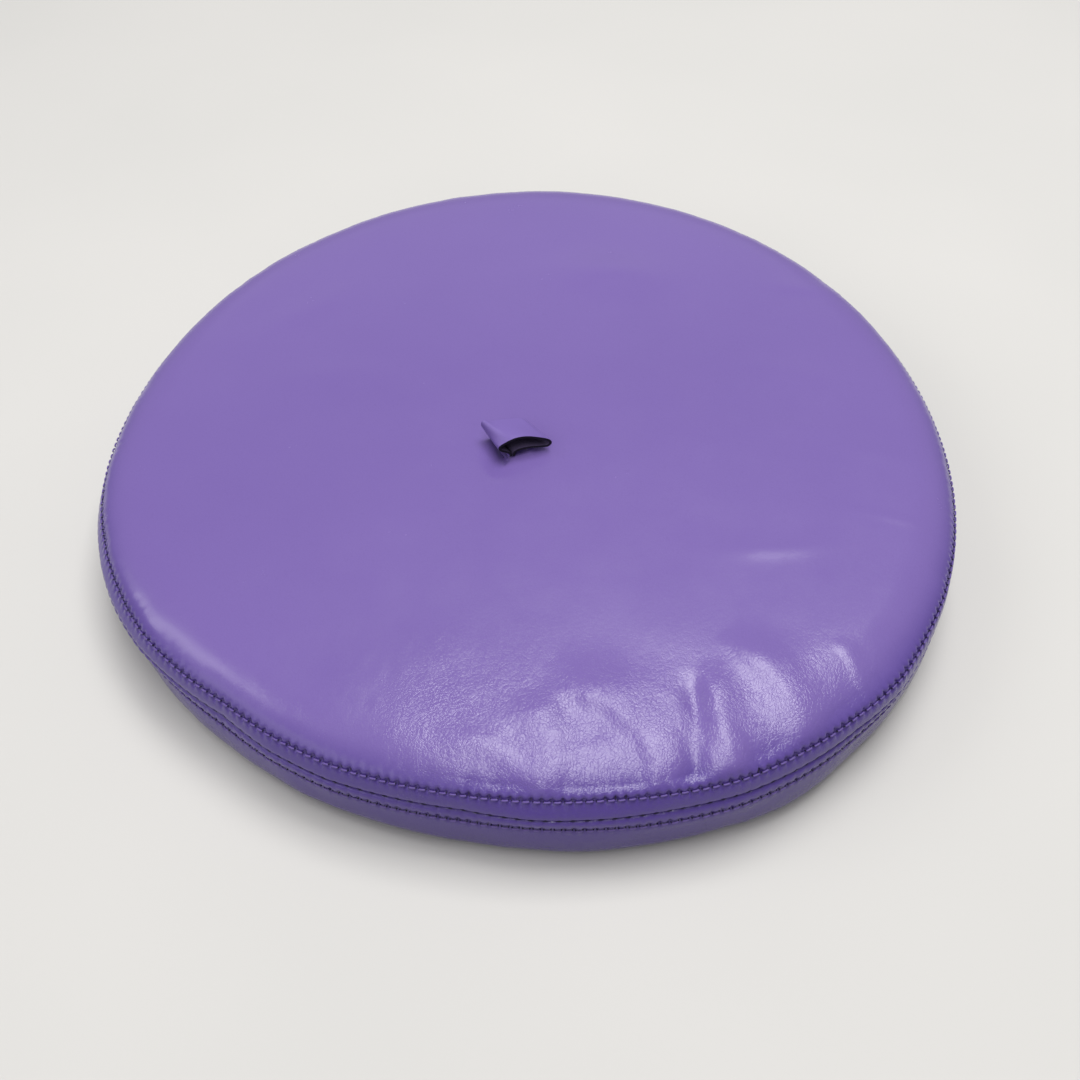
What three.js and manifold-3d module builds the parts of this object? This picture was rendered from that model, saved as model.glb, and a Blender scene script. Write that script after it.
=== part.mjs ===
// Leather beret with a stem loop, lying on its head opening. Millimetres, +Z up.
// The crown is a flat disc of leather sewn at the rim to a ring of leather. The ring
// is turned in at the head opening, where the sweatband is sewn. All the
// layers share one slightly uneven outline, so that they stay nested.
import * as THREE from 'three';
import { mergeVertices } from 'three/addons/utils/BufferGeometryUtils.js';
import Module from 'manifold-3d';

// ---- driving dimensions -------------------------------------------------
const RIM_RADIUS = 140.0;        // mean radius of the rim seam
const CROWN_HEIGHT = 32.4;       // top of the crown above the surface it lies on
const LEATHER = 1.0;             // leather thickness
const GAP = 0.3;                 // clearance between neighbouring layers
const SEGMENTS = 44;             // steps around the rim
const SEAM_Z = 20.8;             // height of the rim seam
const OPENING_RADIUS = 90.0;     // inner face of the sweatband
const BAND_TOP = 18.5;           // top of the sweatband
const BAND_FOOT = 1.6;           // its sewn edge
const THREAD = 0.26;             // half width of a sewing thread ring
const RIPPLE = [                 // uneven outline: cosine and sine share by harmonic
  [1, -0.0032, 0], [2, 0.0235, 0.0038], [3, -0.0138, 0.0132], [4, -0.0009, 0.0059],
  [5, 0.0001, 0.0018], [6, 0.0009, -0.0006], [7, -0.0012, -0.0007],
];
const STEM_AT = [-9.7, -15.5];   // middle of the stem's slit
const STEM_ACROSS = [0.975, 0.22];   // direction the loop reaches in
const STEM_ALONG = [-0.58, 0.814];   // direction of the strip's width
const STRIP_WIDTH = 11.0;        // width of the stem's strip
const LOOP_LIFT = 0.4;           // foot of the loop above the crown; it tilts 1.2 higher
const SLIT_LENGTH = 11.6;
const SLIT_WIDTH = 3.0;
const PATCH_RADIUS = 13.5;       // backing patch under the stem

// ---- helpers --------------------------------------------------------------
const wasm = await Module();
wasm.setup();

function outline(a) {
  let s = 1;
  for (const [k, c, d] of RIPPLE) s += c * Math.cos(k * a) + d * Math.sin(k * a);
  return s;
}

// angle 0 is the front (-Y) and grows towards +X
function place(r, z, a) {
  const s = 1 + (outline(a) - 1) * (r / RIM_RADIUS) ** 2;
  return [r * s * Math.sin(a), -r * s * Math.cos(a), z];
}

function volume(pos, idx) {
  let v = 0;
  for (let i = 0; i < idx.length; i += 3) {
    const [a, b, c] = [idx[i], idx[i + 1], idx[i + 2]].map((k) => pos.slice(3 * k, 3 * k + 3));
    v += (a[0] * (b[1] * c[2] - b[2] * c[1]) - a[1] * (b[0] * c[2] - b[2] * c[0]) + a[2] * (b[0] * c[1] - b[1] * c[0])) / 6;
  }
  return v;
}

function geometry(pos, idx) {
  if (volume(pos, idx) < 0) for (let i = 0; i < idx.length; i += 3) [idx[i], idx[i + 1]] = [idx[i + 1], idx[i]];
  const g = new THREE.BufferGeometry();
  g.setAttribute('position', new THREE.Float32BufferAttribute(pos, 3));
  g.setIndex(idx);
  return g;
}

// turns a section of [radius, height] points around the crown; a point at radius 0 is one vertex
function turned(section, segments = SEGMENTS, cx = 0, cy = 0, even = false) {
  const pos = [], idx = [], first = [];
  for (const [r, z] of section) {
    first.push(pos.length / 3);
    if (r === 0) { pos.push(cx, cy, z); continue; }
    for (let i = 0; i < segments; i++) {
      const a = (2 * Math.PI * i) / segments;
      const p = even ? [r * Math.sin(a), -r * Math.cos(a), z] : place(r, z, a);
      pos.push(p[0] + cx, p[1] + cy, p[2]);
    }
  }
  const n = section.length;
  for (let j = 0; j < n; j++) {
    const k = (j + 1) % n, onAxisJ = section[j][0] === 0, onAxisK = section[k][0] === 0;
    if (onAxisJ && onAxisK) continue;
    for (let i = 0; i < segments; i++) {
      const i2 = (i + 1) % segments;
      const a = first[j] + (onAxisJ ? 0 : i), b = first[j] + (onAxisJ ? 0 : i2);
      const c = first[k] + (onAxisK ? 0 : i), d = first[k] + (onAxisK ? 0 : i2);
      if (!onAxisK) idx.push(a, c, d);
      if (!onAxisJ) idx.push(a, d, b);
    }
  }
  return geometry(pos, idx);
}

// moves an open line of section points sideways by d (to the left of its direction)
function offset(line, d) {
  return line.map((p, i) => {
    const q = line[Math.max(i - 1, 0)], s = line[Math.min(i + 1, line.length - 1)];
    const e1 = i > 0 ? unit(p[0] - q[0], p[1] - q[1]) : unit(s[0] - p[0], s[1] - p[1]);
    const e2 = i < line.length - 1 ? unit(s[0] - p[0], s[1] - p[1]) : e1;
    const nx = -(e1[1] + e2[1]), ny = e1[0] + e2[0], l = Math.hypot(nx, ny);
    const cosHalf = (-(e1[1]) * nx + e1[0] * ny) / l;
    return [Math.max(p[0] + (nx / l) * (d / cosHalf), 0), p[1] + (ny / l) * (d / cosHalf)];
  });
}
function unit(x, y) { const l = Math.hypot(x, y); return [x / l, y / l]; }

// a layer between an outer line and the same line moved in by its thickness
function layer(line, thickness) {
  const inner = offset(line, thickness);
  if (line[0][0] === 0) inner[0][0] = 0;
  return [...line, ...inner.reverse()];
}

function solid(g) {
  const clean = g.clone();
  clean.deleteAttribute('normal');
  clean.deleteAttribute('uv');
  const m = mergeVertices(clean, 1e-4);
  return new wasm.Manifold(new wasm.Mesh({
    numProp: 3,
    vertProperties: new Float32Array(m.attributes.position.array),
    triVerts: new Uint32Array(m.index.array),
  }));
}
function fromSolid(s) {
  const m = s.getMesh();
  const g = new THREE.BufferGeometry();
  g.setAttribute('position', new THREE.BufferAttribute(new Float32Array(m.vertProperties), 3));
  g.setIndex(new THREE.BufferAttribute(new Uint32Array(m.triVerts), 1));
  return g;
}

// extrudes a section given in the stem's own frame: u across, w up, and the strip's width along
function stemSolid(outer, hole, width, floor) {
  const shape = new THREE.Shape(outer.map(([u, w]) => new THREE.Vector2(u, w)));
  if (hole) shape.holes.push(new THREE.Path(hole.map(([u, w]) => new THREE.Vector2(u, w))));
  const g = new THREE.ExtrudeGeometry(shape, { depth: width, bevelEnabled: false, steps: 1 });
  const m = new THREE.Matrix4().set(
    STEM_ACROSS[0], 0, STEM_ALONG[0], STEM_AT[0] - (STEM_ALONG[0] * width) / 2,
    STEM_ACROSS[1], 0, STEM_ALONG[1], STEM_AT[1] - (STEM_ALONG[1] * width) / 2,
    0, 1, 0, floor,
    0, 0, 0, 1);
  g.applyMatrix4(m);
  g.deleteAttribute('normal');
  g.deleteAttribute('uv');
  const merged = mergeVertices(g, 1e-4);
  return geometry([...merged.attributes.position.array], [...merged.index.array]);
}

const group = new THREE.Group();
function add(name, g, color, roughness, metalness = 0) {
  g.computeVertexNormals();
  const mesh = new THREE.Mesh(g, new THREE.MeshStandardMaterial({ color, roughness, metalness }));
  mesh.name = name;
  group.add(mesh);
  return mesh;
}

const PURPLE = 0x7a5fb0, DEEP = 0x46306f, SATIN = 0x2b2338, FELT = 0x8d8890, BAND = 0x2a2432, EDGE = 0x15101f;

// ---- crown, top side --------------------------------------------------------
const T = CROWN_HEIGHT;
const topLine = [
  [0, T], [110, T - 0.15], [122, T - 0.35], [129, T - 1.1], [134, T - 2.5],
  [137.0, T - 4.7], [138.0, T - 6.7], [138.8, T - 8.6], [139.4, SEAM_Z + 0.8],
];
// the seam allowance is turned up inside and cemented, so the edge is two leathers thick
const topSection = [
  ...topLine, [138.3, SEAM_Z + 0.2], [136.9, SEAM_Z + 0.2], [135.9, T - 8.6], [134.6, T - 5.8],
  ...offset(topLine.slice(0, 5), -LEATHER).reverse(),
];
topSection[topSection.length - 1][0] = 0;

// slit for the stem
function slit(low, high, length, wide) {
  const g = stemSolid([[-wide / 2, 0], [wide / 2, 0], [wide / 2, high - low], [-wide / 2, high - low]], null, length, low);
  return solid(g);
}
const topPanel = solid(turned(topSection)).subtract(slit(T - 4, T + 4, SLIT_LENGTH, SLIT_WIDTH));
add('crown_top_panel', fromSolid(topPanel), PURPLE, 0.38);

const felt = 1.0;
const feltLine = offset([...topLine.slice(0, 4), [132.5, T - 2.1]], -(LEATHER + GAP));
feltLine[0][0] = 0;
const feltSection = [...feltLine, ...offset(feltLine, -felt).reverse()];
feltSection[feltSection.length - 1][0] = 0;
add('top_interlining', fromSolid(solid(turned(feltSection)).subtract(slit(T - 6, T + 2, SLIT_LENGTH, SLIT_WIDTH))), FELT, 0.95);

const lining = 0.5;
const topLiningLine = [
  [0, T - 6.2], [95, T - 5.8], [120, T - 4.6], [130, T - 5.6], [133.2, T - 7.4], [134.6, T - 9.8],
  [134.9, SEAM_Z - 1.4],
];
const topLiningSection = [...topLiningLine, ...offset(topLiningLine, -lining).reverse()];
topLiningSection[topLiningSection.length - 1][0] = 0;
add('top_lining', turned(topLiningSection), SATIN, 0.45);

// ---- crown, under side ------------------------------------------------------
const underSection = [
  [136.9, SEAM_Z - 0.2], [138.3, SEAM_Z - 0.2], [139.7, SEAM_Z - 1.3],
  [139.0, SEAM_Z - 4.0], [139.6, SEAM_Z - 5.0], [139.9, 10.0], [139.5, 5.5], [137.9, 2.2],
  [135.2, 0.5], [131.0, 0], [97.0, 0], [93.2, 0.8],
  [91.3, 3.2], [91.3, 9.0], [92.3, 9.0], [92.3, 3.7], [93.9, 1.7], [97.2, 1.0],
  [130.9, 1.0], [134.8, 1.5], [137.1, 3.0], [138.5, 5.8], [138.9, 10.0], [138.6, 13.4],
  [137.4, 14.2], [137.5, SEAM_Z - 4.0],
];
add('crown_under_panel', turned(underSection), PURPLE, 0.40);

const underFelt = 0.8;
const underFeltLine = [
  [98.2, 1.3], [130.8, 1.3], [134.6, 1.8], [136.8, 3.2], [138.15, 5.9], [138.55, 10.0],
];
add('under_interlining', turned([...underFeltLine, ...offset(underFeltLine, underFelt).reverse()]), FELT, 0.95);

const underLiningLine = [
  [92.7, 9.0], [92.8, 4.2], [94.3, 2.9], [98.2, 2.5], [130.2, 2.5], [133.4, 3.1],
  [135.6, 4.9], [136.8, 8.0], [136.8, 12.5], [135.3, SEAM_Z - 1.9],
];
add('under_lining', turned([...underLiningLine, ...offset(underLiningLine, lining).reverse()]), SATIN, 0.45);

// ---- sweatband --------------------------------------------------------------
const bandSection = [
  [OPENING_RADIUS, BAND_FOOT], [OPENING_RADIUS + LEATHER, BAND_FOOT],
  [OPENING_RADIUS + LEATHER, BAND_TOP], [OPENING_RADIUS, BAND_TOP],
];
add('sweatband', turned(bandSection), BAND, 0.6);

// ---- sewing threads, each one ring ------------------------------------------
function thread(name, r, z, half = THREAD, color = DEEP) {
  add(name, turned([[r - half, z], [r, z - half], [r + half, z], [r, z + half]]), color, 0.55);
}
thread('topstitch_upper_thread', 138.55, T - 6.6);
thread('topstitch_lower_thread', 139.7, SEAM_Z - 4.1);
thread('rim_seam_thread', 139.0, SEAM_Z);
thread('lining_seam_thread', 133.7, SEAM_Z - 1.7, 0.22, SATIN);
thread('sweatband_thread', 89.35, 4.2, 0.24, DEEP);

// ---- stem ---------------------------------------------------------------
// tails: two leaves of the strip pass through the slit and spread under the crown
const tailTop = T + 0.1, tailLow = T - 3.6, spread = 8.5;
add('stem_tails', stemSolid([
  [-1.1, tailTop - tailLow], [-1.1, 1.0], [-spread, 1.0], [-spread, 0], [spread, 0], [spread, 1.0],
  [1.1, 1.0], [1.1, tailTop - tailLow]], null, STRIP_WIDTH, tailLow), PURPLE, 0.5);
add('stem_backing_patch', turned([[0, tailLow - 0.3], [PATCH_RADIUS, tailLow - 0.3], [PATCH_RADIUS, tailLow - 1.1], [0, tailLow - 1.1]],
  28, STEM_AT[0], STEM_AT[1], true), EDGE, 0.8);

// loop: the strip comes out of the slit, runs out to the right, turns back over the top and
// comes down again on the left. Its foot is round about the bend that it tilts on.
const loopOuter = [
  [1.15, 1.2], [1.7, 1.55], [3.6, 1.9], [6.2, 2.1], [9.0, 1.8], [11.2, 1.6], [12.5, 2.4], [12.7, 3.7],
  [11.7, 4.8], [8.4, 6.3], [5.0, 7.3], [2.2, 7.6], [-0.3, 7.2], [-2.6, 6.1], [-3.9, 4.2], [-3.6, 2.8],
  [-2.3, 1.9], [-1.4, 1.6], [-1.15, 1.2], [-0.99, 0.62], [-0.57, 0.2], [0, 0.05], [0.57, 0.2], [0.99, 0.62],
];
const loopHole = [
  [0.3, 2.6], [3.3, 2.95], [6.2, 3.1], [9.0, 2.8], [10.8, 2.6], [11.5, 3.0], [11.6, 3.6], [11.1, 4.0],
  [8.0, 5.3], [4.8, 6.25], [2.2, 6.55], [0.1, 6.2], [-1.9, 5.3], [-2.8, 4.1], [-2.5, 3.5], [-1.3, 2.8],
];
add('stem_loop', stemSolid(loopOuter, loopHole.reverse(), STRIP_WIDTH, T + LOOP_LIFT), PURPLE, 0.45);

// stitches that hold the patch and the tails: a small flat ring under the crown
add('stem_thread', turned([[9.6, tailLow - 1.7], [10.2, tailLow - 2.0], [10.8, tailLow - 1.7], [10.2, tailLow - 1.4]],
  24, STEM_AT[0], STEM_AT[1], true), DEEP, 0.6);

// ---- centre the part on its own box --------------------------------------------
const box = new THREE.Box3().setFromObject(group);
group.position.set(-(box.min.x + box.max.x) / 2, -(box.min.y + box.max.y) / 2, -box.min.z);
group.updateMatrixWorld(true);

export default group;
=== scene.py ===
import math

import bpy
import numpy as np
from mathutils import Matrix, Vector


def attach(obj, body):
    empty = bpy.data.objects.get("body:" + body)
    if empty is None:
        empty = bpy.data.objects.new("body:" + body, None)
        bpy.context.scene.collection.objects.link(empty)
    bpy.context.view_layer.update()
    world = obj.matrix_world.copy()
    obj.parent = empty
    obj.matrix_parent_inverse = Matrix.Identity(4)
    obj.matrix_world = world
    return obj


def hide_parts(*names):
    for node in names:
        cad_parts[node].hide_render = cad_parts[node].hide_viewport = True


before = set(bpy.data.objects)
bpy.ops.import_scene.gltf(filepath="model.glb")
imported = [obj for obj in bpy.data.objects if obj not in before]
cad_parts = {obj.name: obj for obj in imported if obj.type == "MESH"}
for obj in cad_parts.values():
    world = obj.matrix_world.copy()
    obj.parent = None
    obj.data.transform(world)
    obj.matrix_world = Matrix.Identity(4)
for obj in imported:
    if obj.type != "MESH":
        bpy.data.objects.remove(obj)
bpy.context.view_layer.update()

# ---------------------------------------------------------------- sizes, mm
SX, SY = 1.49672, -2.51643        # middle of the reference outline in the row frame
RIM = 140.0
T = 32.4
S = 20.8
TAU = 2 * math.pi
RIPPLE = [(1, -0.0032, 0.0), (2, 0.0235, 0.0038), (3, -0.0138, 0.0132), (4, -0.0009, 0.0059),
          (5, 0.0001, 0.0018), (6, 0.0009, -0.0006), (7, -0.0012, -0.0007)]
STEM = np.array([-9.7, -15.5])
ACROSS = np.array([0.975, 0.222])
ALONG = np.array([-0.58, 0.814])

# uneven run of the two stitch rows and the seam across the front, by angle in degrees
DEG = np.arange(-90, 91, 7.5)
UP_R = [0.24, 0.35, 0.45, 0.16, 0.39, 0.96, 0.56, -0.15, 0.91, 1.35, 0.61, -0.28, -0.7,
        -1.11, -0.7, 0.21, -0.01, 0.3, 1.63, 1.22, 1.38, 1.22, 0.96, 0.65, 0.34]
UP_Z = [-0.08, -0.09, -0.1, -0.1, -0.1, -0.09, -0.09, -0.08, -0.07, -0.06, -0.04, -0.03, -0.02, 0, 0.01, 0.02, 0.03,
        0.04, 0.04, 0.04, 0.04, 0.04, 0.03, 0.02, 0]
SE_R = [0.52, 0.95, 1.37, 1.66, 1.75, 1.45, 0.54, -0.47, 0.74, 0.88, 0.14, -0.45, 0.46,
        0.09, -0.48, -0.2, -0.22, -0.18, 0.7, 0.41, 0.43, 0.43, 0.41, 0.37, 0.3]
SE_Z = [-0.18, -0.23, -0.28, -0.31, -0.33, -0.34, -0.34, -0.33, -0.32, -0.3, -0.27, -0.24, -0.21, -0.18, -0.14,
        -0.11, -0.07, -0.04, -0.01, 0.02, 0.04, 0.05, 0.06, 0.06, 0.06]
LO_R = [-0.09, -0.06, 0.02, 0.14, 0.29, 0.47, 0.32, 0.35, 1.49, 1.92, 1.1, 0.36, 0.3,
        0.34, 0.5, 0.82, 0.5, 0.0, 0.36, 0.35, 0.36, 0.36, 0.35, 0.32, 0.27]
LO_Z = [-0.22, -0.29, -0.34, -0.38, -0.41, -0.43, -0.43, -0.43, -0.42, -0.4, -0.37, -0.34, -0.31, -0.27, -0.23,
        -0.19, -0.15, -0.11, -0.07, -0.04, -0.01, 0.01, 0.03, 0.04, 0.04]

UPPER_AT = (137.9, 25.8)          # radius and height of the upper stitch row
LOWER_AT = (139.6, 16.8)
STITCHES = 326                    # 2.7 mm each
NOTCHES = 251


def wrap(a):
    return (a + math.pi) % TAU - math.pi


def table_at(a, values):
    """value of a front table at the angles a, fading out behind"""
    d = np.degrees(wrap(a))
    v = np.interp(np.clip(d, -90, 90), DEG, values)
    return v * np.clip(1 - (np.abs(d) - 90) / 40, 0, 1)


def outline(a):
    s = np.ones_like(a)
    for k, c, d in RIPPLE:
        s = s + c * np.cos(k * a) + d * np.sin(k * a)
    return s


def smooth01(x):
    x = np.clip(x, 0, 1)
    return x * x * (3 - 2 * x)


def bell(x, w):
    return np.exp(-0.5 * (x / w) ** 2)


def rim_shift(r, z, a):
    """how far the rim rows wander, blended by height"""
    w_up = bell(z - UPPER_AT[1], 2.6)
    w_se = bell(z - S, 2.0)
    w_lo = bell(z - LOWER_AT[1], 2.8) + 0.9 * ((z < 16.8) * (1 - bell(z - LOWER_AT[1], 2.8)) * smooth01((z - 1) / 8))
    near = smooth01((r - 126) / 8)
    dr = (w_up * table_at(a, UP_R) + w_se * table_at(a, SE_R) + w_lo * table_at(a, LO_R)) * near
    dz = (w_up * table_at(a, UP_Z) + w_se * table_at(a, SE_Z) + w_lo * table_at(a, LO_Z)) * near
    return r + dr, z + dz


def place(r, z, a):
    """reference radius, height and angle (0 at the front, growing to +X) to x, y, z in mm"""
    s = 1 + (outline(a) - 1) * (r / RIM) ** 2
    return np.stack([SX + r * s * np.sin(a), SY - r * s * np.cos(a), z + 0 * a], -1)


# ---------------------------------------------------------------- noise without a library
rng = np.random.default_rng(7)


def lattice(seed, n=64):
    return np.random.default_rng(seed).standard_normal((n, n))


LAT = [lattice(k) for k in range(6)]


def noise(x, y, cell, k=0):
    """smooth value noise over the plane, about -1..1"""
    g = LAT[k % 6]
    n = g.shape[0]
    u, v = np.asarray(x) / cell + 17.3 * k, np.asarray(y) / cell + 9.1 * k
    i, j = np.floor(u).astype(int), np.floor(v).astype(int)
    fu, fv = u - i, v - j
    fu, fv = fu * fu * (3 - 2 * fu), fv * fv * (3 - 2 * fv)
    a, b = g[i % n, j % n], g[(i + 1) % n, j % n]
    c, d = g[i % n, (j + 1) % n], g[(i + 1) % n, (j + 1) % n]
    return (a * (1 - fu) + b * fu) * (1 - fv) + (c * (1 - fu) + d * fu) * fv


# ---------------------------------------------------------------- mesh helpers
def make(name, verts, faces, mats, face_mat=None, sharp=None):
    """a mesh object from points in mm"""
    me = bpy.data.meshes.new(name)
    verts = np.asarray(verts, float) / 1000
    flat = np.concatenate([np.asarray(f, int).ravel() for f in faces])
    sizes = np.concatenate([np.full(len(f), np.asarray(f).shape[1]) for f in faces])
    me.vertices.add(len(verts))
    me.vertices.foreach_set("co", verts.ravel())
    me.loops.add(len(flat))
    me.loops.foreach_set("vertex_index", flat)
    me.polygons.add(len(sizes))
    starts = np.concatenate([[0], np.cumsum(sizes)[:-1]])
    me.polygons.foreach_set("loop_start", starts)
    me.polygons.foreach_set("loop_total", sizes)
    if face_mat is not None:
        me.polygons.foreach_set("material_index", np.asarray(face_mat, int))
    me.polygons.foreach_set("use_smooth", np.ones(len(sizes), bool))
    me.update(calc_edges=True)
    me.validate()
    for m in mats:
        me.materials.append(m)
    ob = bpy.data.objects.new(name, me)
    bpy.context.scene.collection.objects.link(ob)
    if sharp:
        me.set_sharp_from_angle(angle=math.radians(sharp))
    return ob


class Rings:
    """a closed surface of revolution in rings of different counts"""

    def __init__(self):
        self.v, self.f3, self.f4, self.n = [], [], [], 0
        self.prev = None
        self.first = None
        self.m3, self.m4, self.mat = [], [], 0

    def ring(self, pts):
        idx = np.arange(self.n, self.n + len(pts))
        self.v.append(np.asarray(pts, float))
        self.n += len(pts)
        if self.prev is not None:
            self.join(self.prev, idx)
        else:
            self.first = idx
        self.prev = idx

    def point(self, p):
        i = self.n
        self.v.append(np.asarray([p], float))
        self.n += 1
        if self.prev is not None:
            a = self.prev
            b = np.roll(a, -1)
            self.tri(np.stack([a, np.full_like(a, i), b], 1))
            self.prev = None
        else:
            self.apex = i
            self.prev = None
        return i

    def from_point(self, i, pts):
        idx = np.arange(self.n, self.n + len(pts))
        self.v.append(np.asarray(pts, float))
        self.n += len(pts)
        b = np.roll(idx, -1)
        self.tri(np.stack([np.full_like(idx, i), idx, b], 1))
        self.prev = idx

    def tri(self, f):
        self.f3.append(f)
        self.m3.append(np.full(len(f), self.mat))

    def quad(self, f):
        self.f4.append(f)
        self.m4.append(np.full(len(f), self.mat))

    def join(self, a, b):
        na, nb = len(a), len(b)
        if na == nb:
            self.quad(np.stack([a, b, np.roll(b, -1), np.roll(a, -1)], 1))
            return
        if na < nb:
            m = nb // na
            a2, bb = np.roll(a, -1), b.reshape(na, m)
            nxt = np.roll(b, -1).reshape(na, m)
            half = m // 2
            for k in range(m):
                self.tri(np.stack([a if k < half or half == 0 and k == 0 else a2, bb[:, k], nxt[:, k]], 1))
            k = half if half else 1
            mid = bb[:, k] if k < m else np.roll(b, -m).reshape(na, m)[:, 0]
            self.tri(np.stack([a, mid, a2], 1))
        else:
            m = na // nb
            b2, aa = np.roll(b, -1), a.reshape(nb, m)
            nxt = np.roll(a, -1).reshape(nb, m)
            half = m // 2
            for k in range(m):
                self.tri(np.stack([nxt[:, k], aa[:, k], b if k < half else b2], 1))
            self.tri(np.stack([b, b2, aa[:, half]], 1))

    def close(self):
        self.join(self.prev, self.first)

    def build(self, name, mats, sharp=None):
        faces, fm = [], []
        if self.f4:
            faces.append(np.concatenate(self.f4))
            fm.append(np.concatenate(self.m4))
        if self.f3:
            faces.append(np.concatenate(self.f3))
            fm.append(np.concatenate(self.m3))
        ob = make(name, np.concatenate(self.v), faces, mats, np.concatenate(fm), sharp)
        # outward faces
        me = ob.data
        tri = np.zeros(len(me.loops), int)
        me.loops.foreach_get("vertex_index", tri)
        me.calc_loop_triangles()
        t = np.zeros(len(me.loop_triangles) * 3, int)
        me.loop_triangles.foreach_get("vertices", t)
        t = t.reshape(-1, 3)
        co = np.zeros(len(me.vertices) * 3)
        me.vertices.foreach_get("co", co)
        co = co.reshape(-1, 3)
        vol = np.einsum("ij,ij->i", co[t[:, 0]], np.cross(co[t[:, 1]], co[t[:, 2]])).sum()
        if vol < 0:
            me.flip_normals()
        return ob


def resample(line, step):
    """points along a smooth line through the given section points, about step apart"""
    p = np.asarray(line, float)
    d = np.concatenate([[0], np.cumsum(np.hypot(*np.diff(p, axis=0).T))])
    fine = np.linspace(0, d[-1], max(8, int(d[-1] / 0.05)))
    # Catmull-Rom through the points
    out = []
    for s in fine:
        i = min(max(np.searchsorted(d, s) - 1, 0), len(p) - 2)
        t = (s - d[i]) / (d[i + 1] - d[i])
        p0 = p[max(i - 1, 0)]
        p1, p2 = p[i], p[i + 1]
        p3 = p[min(i + 2, len(p) - 1)]
        m1 = (p2 - p0) / (d[i + 1] - d[max(i - 1, 0)]) if i > 0 else (p2 - p1) / (d[i + 1] - d[i])
        m2 = (p3 - p1) / (d[min(i + 2, len(p) - 1)] - d[i]) if i < len(p) - 2 else (p2 - p1) / (d[i + 1] - d[i])
        h = d[i + 1] - d[i]
        out.append((2 * t**3 - 3 * t**2 + 1) * p1 + (t**3 - 2 * t**2 + t) * h * m1
                   + (-2 * t**3 + 3 * t**2) * p2 + (t**3 - t**2) * h * m2)
    out = np.array(out)
    e = np.concatenate([[0], np.cumsum(np.hypot(*np.diff(out, axis=0).T))])
    want = [0.0]
    while want[-1] < e[-1] - 1e-6:
        i = min(np.searchsorted(e, want[-1]), len(out) - 1)
        want.append(want[-1] + (step(out[i]) if callable(step) else step))
    want = np.array(want) * e[-1] / want[-1] if want[-1] > e[-1] else np.array(want)
    return np.stack([np.interp(want, e, out[:, 0]), np.interp(want, e, out[:, 1])], 1)


def normals2(line):
    """left-hand normals of a section line"""
    d = np.gradient(line, axis=0)
    d /= np.maximum(np.hypot(d[:, 0], d[:, 1]), 1e-9)[:, None]
    return np.stack([-d[:, 1], d[:, 0]], 1)


# ---------------------------------------------------------------- materials
def nodes_of(m):
    m.use_nodes = True
    nt = m.node_tree
    for n in list(nt.nodes):
        nt.nodes.remove(n)
    return nt


class Mat:
    def __init__(self, name):
        self.m = bpy.data.materials.new(name)
        self.nt = nodes_of(self.m)
        self.out = self.nt.nodes.new("ShaderNodeOutputMaterial")
        self.b = self.nt.nodes.new("ShaderNodeBsdfPrincipled")
        self.nt.links.new(self.b.outputs[0], self.out.inputs[0])
        self.tc = self.nt.nodes.new("ShaderNodeTexCoord")
        self.mp = self.nt.nodes.new("ShaderNodeMapping")
        self.nt.links.new(self.tc.outputs["Object"], self.mp.inputs[0])

    def n(self, kind, **kw):
        x = self.nt.nodes.new(kind)
        for k, v in kw.items():
            if k.startswith("in_"):
                x.inputs[k[3:].replace("_", " ")].default_value = v
            else:
                setattr(x, k, v)
        return x

    def link(self, a, b):
        self.nt.links.new(a, b)

    def noise(self, scale, detail=3.0, rough=0.5, distort=0.0, src=None):
        x = self.n("ShaderNodeTexNoise")
        x.inputs["Scale"].default_value = scale
        x.inputs["Detail"].default_value = detail
        x.inputs["Roughness"].default_value = rough
        x.inputs["Distortion"].default_value = distort
        self.link(src or self.mp.outputs[0], x.inputs["Vector"])
        return x

    def voronoi(self, scale, feature="DISTANCE_TO_EDGE", rand=1.0, src=None):
        x = self.n("ShaderNodeTexVoronoi", feature=feature)
        x.inputs["Scale"].default_value = scale
        x.inputs["Randomness"].default_value = rand
        self.link(src or self.mp.outputs[0], x.inputs["Vector"])
        return x

    def math(self, op, a, b=None, clamp=False):
        x = self.n("ShaderNodeMath", operation=op, use_clamp=clamp)
        for i, v in enumerate([a, b]):
            if v is None:
                continue
            if isinstance(v, (int, float)):
                x.inputs[i].default_value = v
            else:
                self.link(v, x.inputs[i])
        return x.outputs[0]

    def range(self, v, a, b, c, d, kind="LINEAR"):
        x = self.n("ShaderNodeMapRange", interpolation_type=kind)
        self.link(v, x.inputs[0])
        for i, k in enumerate([a, b, c, d]):
            x.inputs[i + 1].default_value = k
        return x.outputs[0]

    def mix(self, f, a, b, kind="MIX"):
        x = self.n("ShaderNodeMix", data_type="RGBA", blend_type=kind)
        for i, v in zip((0, 6, 7), (f, a, b)):
            if isinstance(v, (int, float)):
                x.inputs[i].default_value = v
            elif isinstance(v, tuple):
                x.inputs[i].default_value = v
            else:
                self.link(v, x.inputs[i])
        return x.outputs[2]

    def bump(self, height, dist, strength=1.0, after=None):
        x = self.n("ShaderNodeBump")
        x.inputs["Strength"].default_value = strength
        x.inputs["Distance"].default_value = dist
        self.link(height, x.inputs["Height"])
        if after is not None:
            self.link(after, x.inputs["Normal"])
        return x.outputs[0]


def rgb(r, g, b):
    return (r, g, b, 1.0)


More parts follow.
